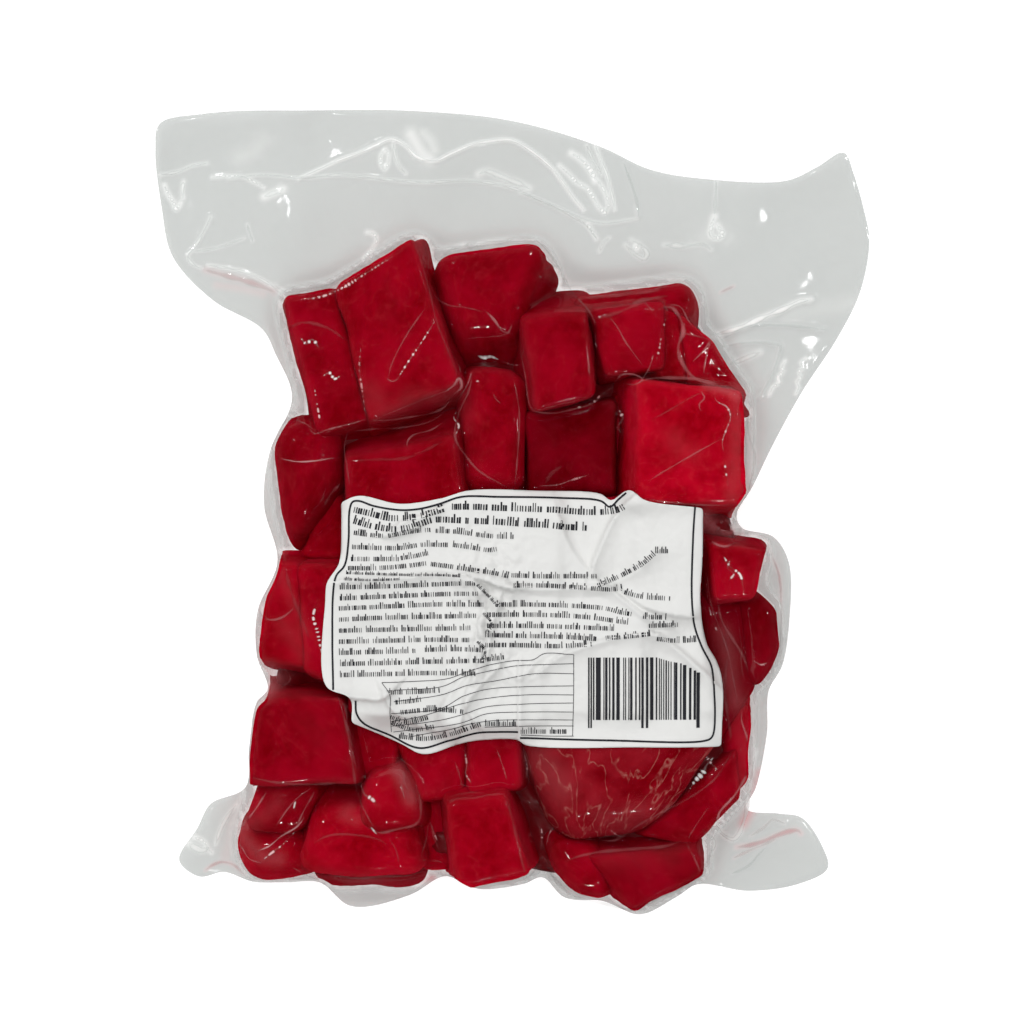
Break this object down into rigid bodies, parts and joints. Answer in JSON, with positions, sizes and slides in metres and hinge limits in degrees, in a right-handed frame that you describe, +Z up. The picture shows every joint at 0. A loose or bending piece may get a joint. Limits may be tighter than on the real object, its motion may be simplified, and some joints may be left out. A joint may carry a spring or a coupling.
{
  "type": "vacuum-sealed pouch of tuna cubes",
  "caption": "Clear vacuum pouch of frozen deep-red tuna cubes lying flat, with a loose film flap at one end, small film ears and a crumpled paper label.",
  "frame": {"origin": "centre of the footprint, on the surface the pouch lies on", "axes": "+Z up through the label, +Y towards the loose film flap, +X to the right when the flap points away"},
  "size_m": [0.1872, 0.2111, 0.0338],
  "materials": {
    "tuna": "deep red frozen tuna flesh under tight film, moist and glossy",
    "film": "clear polyamide and polyethylene vacuum film, glossy, with fine creases",
    "juice": "dark red frozen juice between the pieces",
    "label": "white coated paper, crumpled, with plain dark print shapes"
  },
  "bodies": {
    "root": {"pouch": "tuna", "label": "label"}
  },
  "joints": []
}
